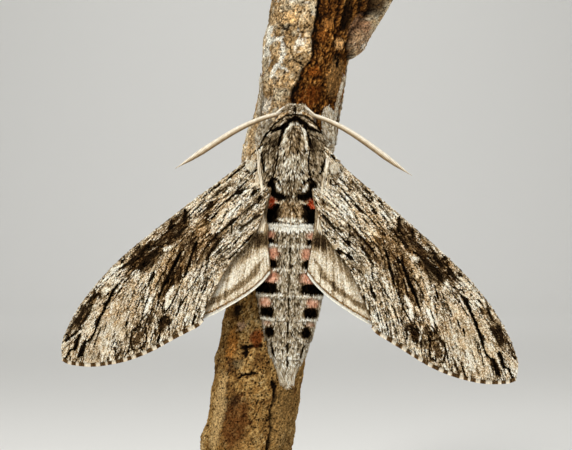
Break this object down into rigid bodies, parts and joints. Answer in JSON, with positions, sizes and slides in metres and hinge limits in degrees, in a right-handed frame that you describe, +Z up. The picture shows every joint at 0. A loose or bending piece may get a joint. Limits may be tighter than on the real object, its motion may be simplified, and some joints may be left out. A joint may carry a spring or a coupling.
{
  "type": "convolvulus hawk moth",
  "caption": "Still, life-size convolvulus hawk moth at rest with its wings half spread, gripping a cut length of branch on a plain display stand.",
  "frame": {"origin": "middle of the underside of the display stand's base", "axes": "+Z up, which is towards the moth's head; the moth's back faces -Y; +X is the moth's right"},
  "size_m": [0.0816, 0.066, 0.0997],
  "materials": {
    "wing": "matt scales",
    "fur": "soft scales and hair",
    "antenna": "matt",
    "eye": "gloss",
    "leg": "fine scales",
    "bark": "rough bark",
    "stand_wood": "satin",
    "stand_metal": "satin"
  },
  "bodies": {
    "root": {"head": "fur", "eye_left": "eye", "eye_right": "eye", "palp_left": "fur", "palp_right": "fur", "antenna_left": "antenna", "antenna_right": "antenna", "thorax": "fur", "abdomen": "fur", "forewing_left": "wing", "forewing_right": "wing", "hindwing_left": "wing", "hindwing_right": "wing", "foreleg_left": "leg", "foreleg_right": "leg", "midleg_left": "leg", "midleg_right": "leg", "hindleg_left": "leg", "hindleg_right": "leg", "perch": "bark", "stand_base": "stand_wood", "stand_rod": "stand_metal"}
  },
  "joints": []
}
